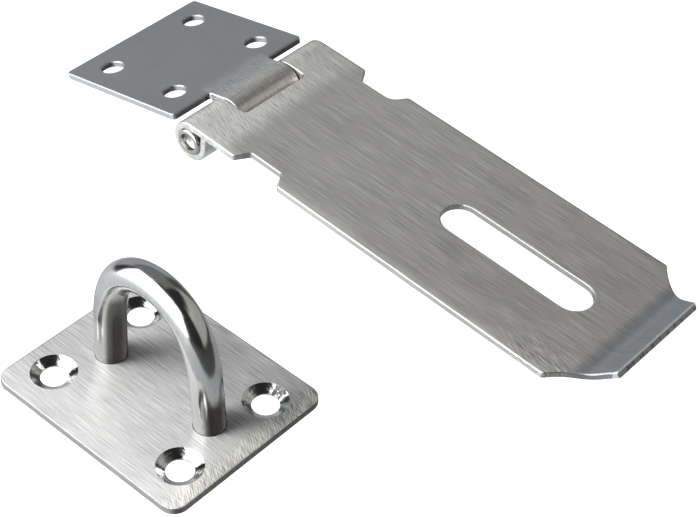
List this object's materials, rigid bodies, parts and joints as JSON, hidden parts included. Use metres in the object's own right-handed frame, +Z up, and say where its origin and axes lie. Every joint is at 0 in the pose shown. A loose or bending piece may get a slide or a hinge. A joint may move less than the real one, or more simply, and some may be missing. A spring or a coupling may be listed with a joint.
{
  "type": "door hasp and staple",
  "caption": "Safety hasp of bent sheet steel with a rolled pin hinge, lying open, and its staple with a round-rod loop on a flat plate.",
  "frame": {"origin": "middle of the staple plate's underside, on the surface that every piece lies on", "axes": "+X along the strap from the hinge towards its lip, +Y from the staple towards the strap, +Z up"},
  "size_m": [0.1283, 0.0988, 0.0271],
  "materials": {
    "leaf_steel": "fine satin, cool grey",
    "strap_steel": "brushed along its length",
    "pin_steel": "turned, bright",
    "plate_steel": "brushed along its length, bright",
    "loop_steel": "polished"
  },
  "bodies": {
    "base": {"hinge_leaf": "leaf_steel", "hinge_pin": "pin_steel", "staple_plate": "plate_steel", "staple_loop": "loop_steel"},
    "strap": {"hasp_strap": "strap_steel"}
  },
  "joints": [
    {"name": "strap_swing", "type": "hinge", "parent": "base", "child": "strap", "pos_m": [-0.0389, 0.06315, 0.00405], "axis": [0, 1, 0], "range_deg": [-105.6, 164.4]}
  ]
}
